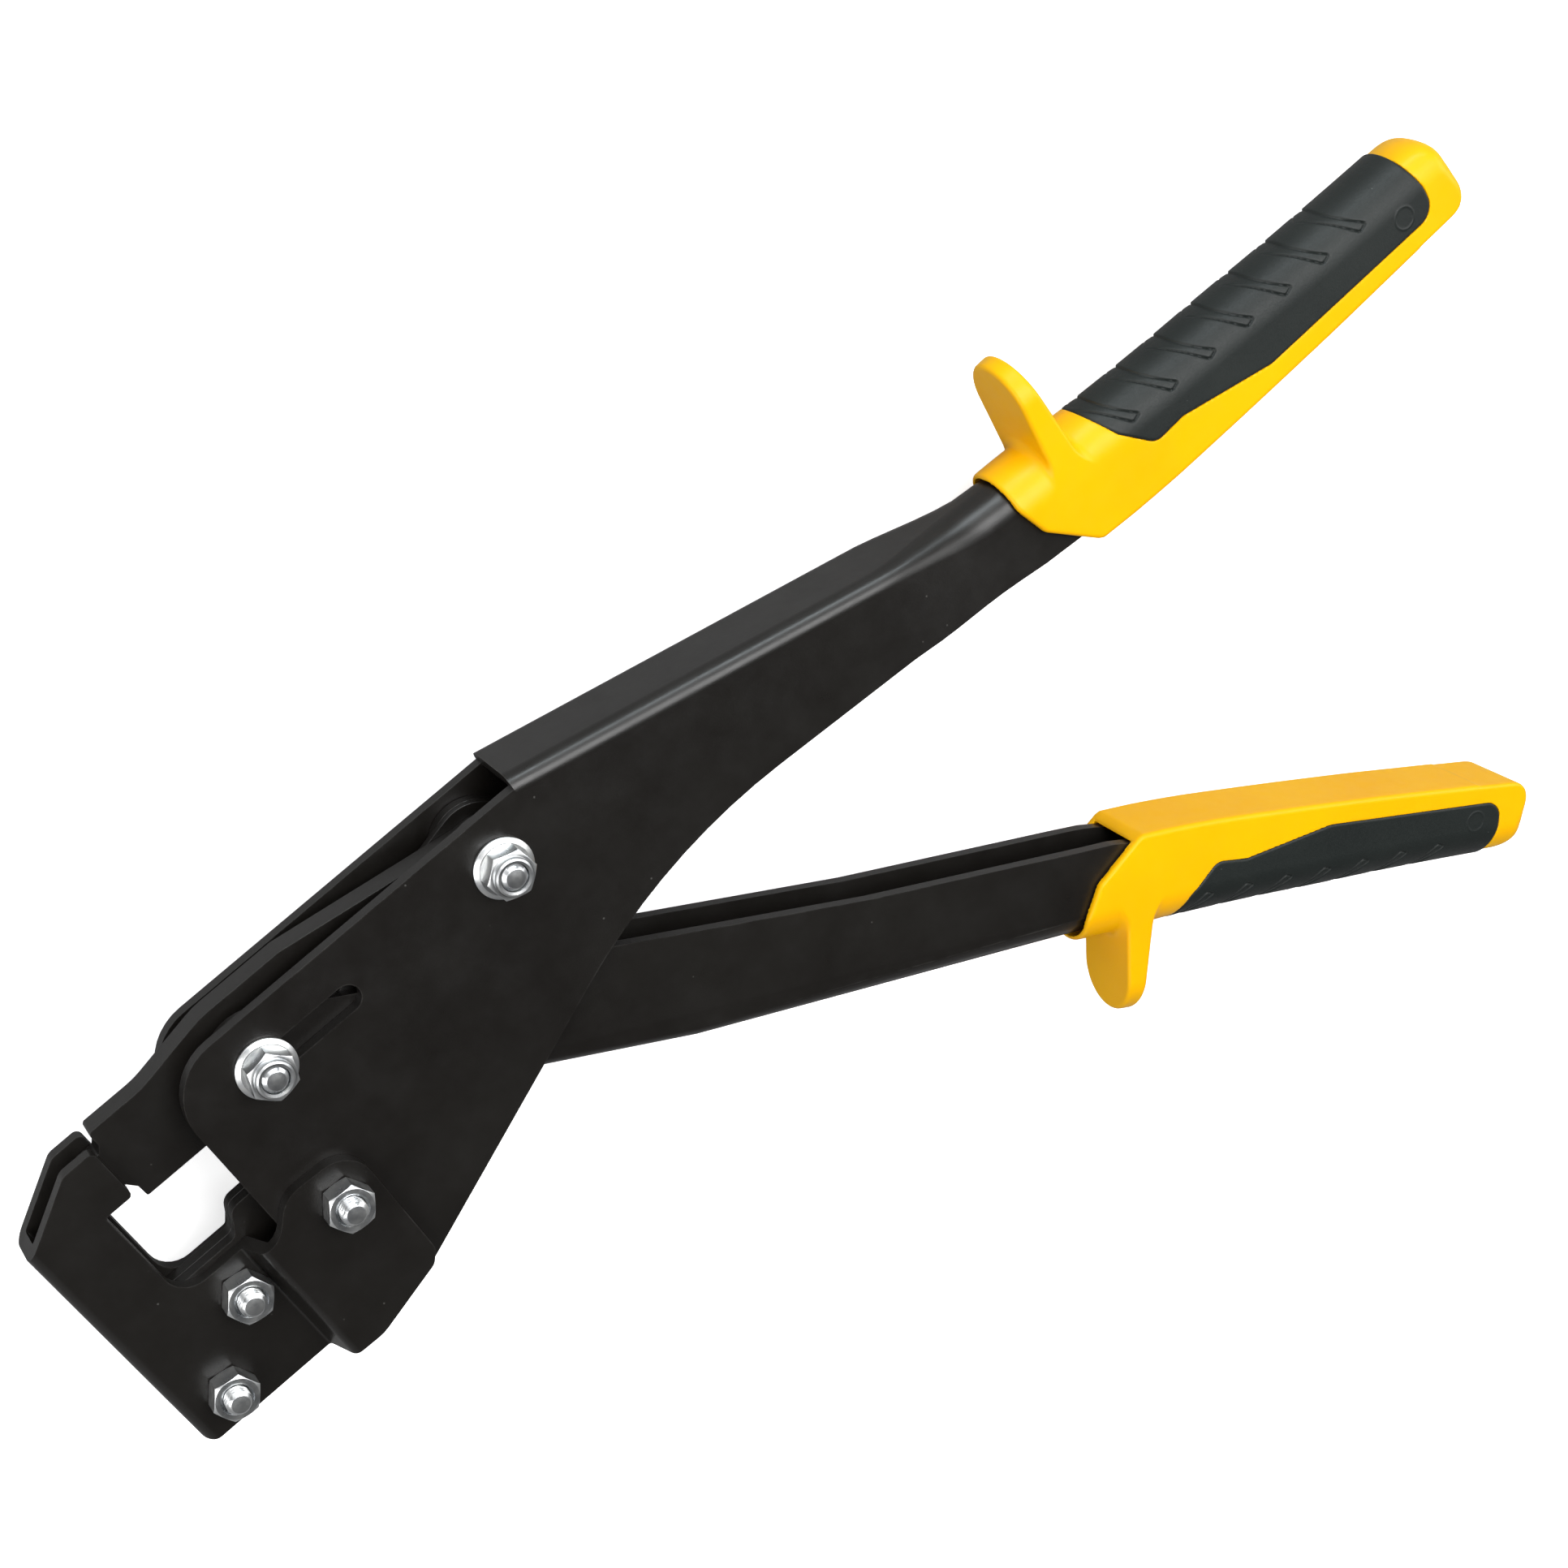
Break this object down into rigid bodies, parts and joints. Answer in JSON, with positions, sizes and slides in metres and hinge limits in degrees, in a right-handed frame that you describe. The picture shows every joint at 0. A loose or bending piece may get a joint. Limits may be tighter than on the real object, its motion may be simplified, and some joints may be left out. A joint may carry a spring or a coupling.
{
  "type": "section setting pliers",
  "caption": "Two-handed toggle pliers with an open front jaw, a sliding punch bar and folded sheet levers with sleeve grips.",
  "frame": {"origin": "middle of the outer end face of the main pivot bolt head, on the main pivot axis", "axes": "+X from the ram bolt through the main pivot towards the handles, +Y towards the spine of the body, +Z along the pivots towards the nuts"},
  "size_m": [0.5092, 0.2582, 0.0521],
  "materials": {
    "black_steel": "satin black coating on folded sheet steel",
    "zinc": "bright zinc plating",
    "yellow_plastic": "smooth moulded plastic with a soft gloss",
    "soft_black": "fine matt grain"
  },
  "bodies": {
    "frame": {"body_channel": "black_steel", "upper_grip_shell": "yellow_plastic", "upper_grip_pad": "soft_black", "jaw_frame": "black_steel", "die_plate_near": "black_steel", "die_plate_far": "black_steel", "main_bolt": "zinc", "main_nut": "zinc", "main_spacer_near": "black_steel", "main_spacer_far": "black_steel", "ear_bolt": "zinc", "ear_nut": "zinc", "ear_spacer_near": "zinc", "ear_spacer_far": "zinc", "upper_jaw_bolt": "zinc", "upper_jaw_nut": "zinc", "lower_jaw_bolt": "zinc", "lower_jaw_nut": "zinc"},
    "ram": {"punch_bar": "black_steel", "ram_bolt": "zinc", "ram_nut": "zinc", "ram_washer_near": "zinc", "ram_washer_far": "zinc"},
    "handle": {"lever_channel": "black_steel", "lower_grip_shell": "yellow_plastic", "lower_grip_pad": "soft_black"},
    "links": {"link_near": "black_steel", "link_far": "black_steel", "link_pin": "zinc"}
  },
  "joints": [
    {"name": "ram_slide", "type": "slide", "parent": "frame", "child": "ram", "axis": [1, 0, 0], "range_m": [-0.0033, 0.0279]},
    {"name": "handle_hinge", "type": "hinge", "parent": "ram", "child": "handle", "pos_m": [-0.0833, 0, 0.02245], "axis": [0, 0, 1], "range_deg": [-43.5, 5]},
    {"name": "link_hinge", "type": "hinge", "parent": "frame", "child": "links", "pos_m": [0, 0, 0.02245], "axis": [0, 0, 1], "range_deg": [-3, 25.3]}
  ],
  "couplings": [
    {"joint": "ram_slide", "follows": "handle_hinge", "m_per_rad": -0.0366},
    {"joint": "link_hinge", "follows": "handle_hinge", "ratio": -0.5778}
  ]
}
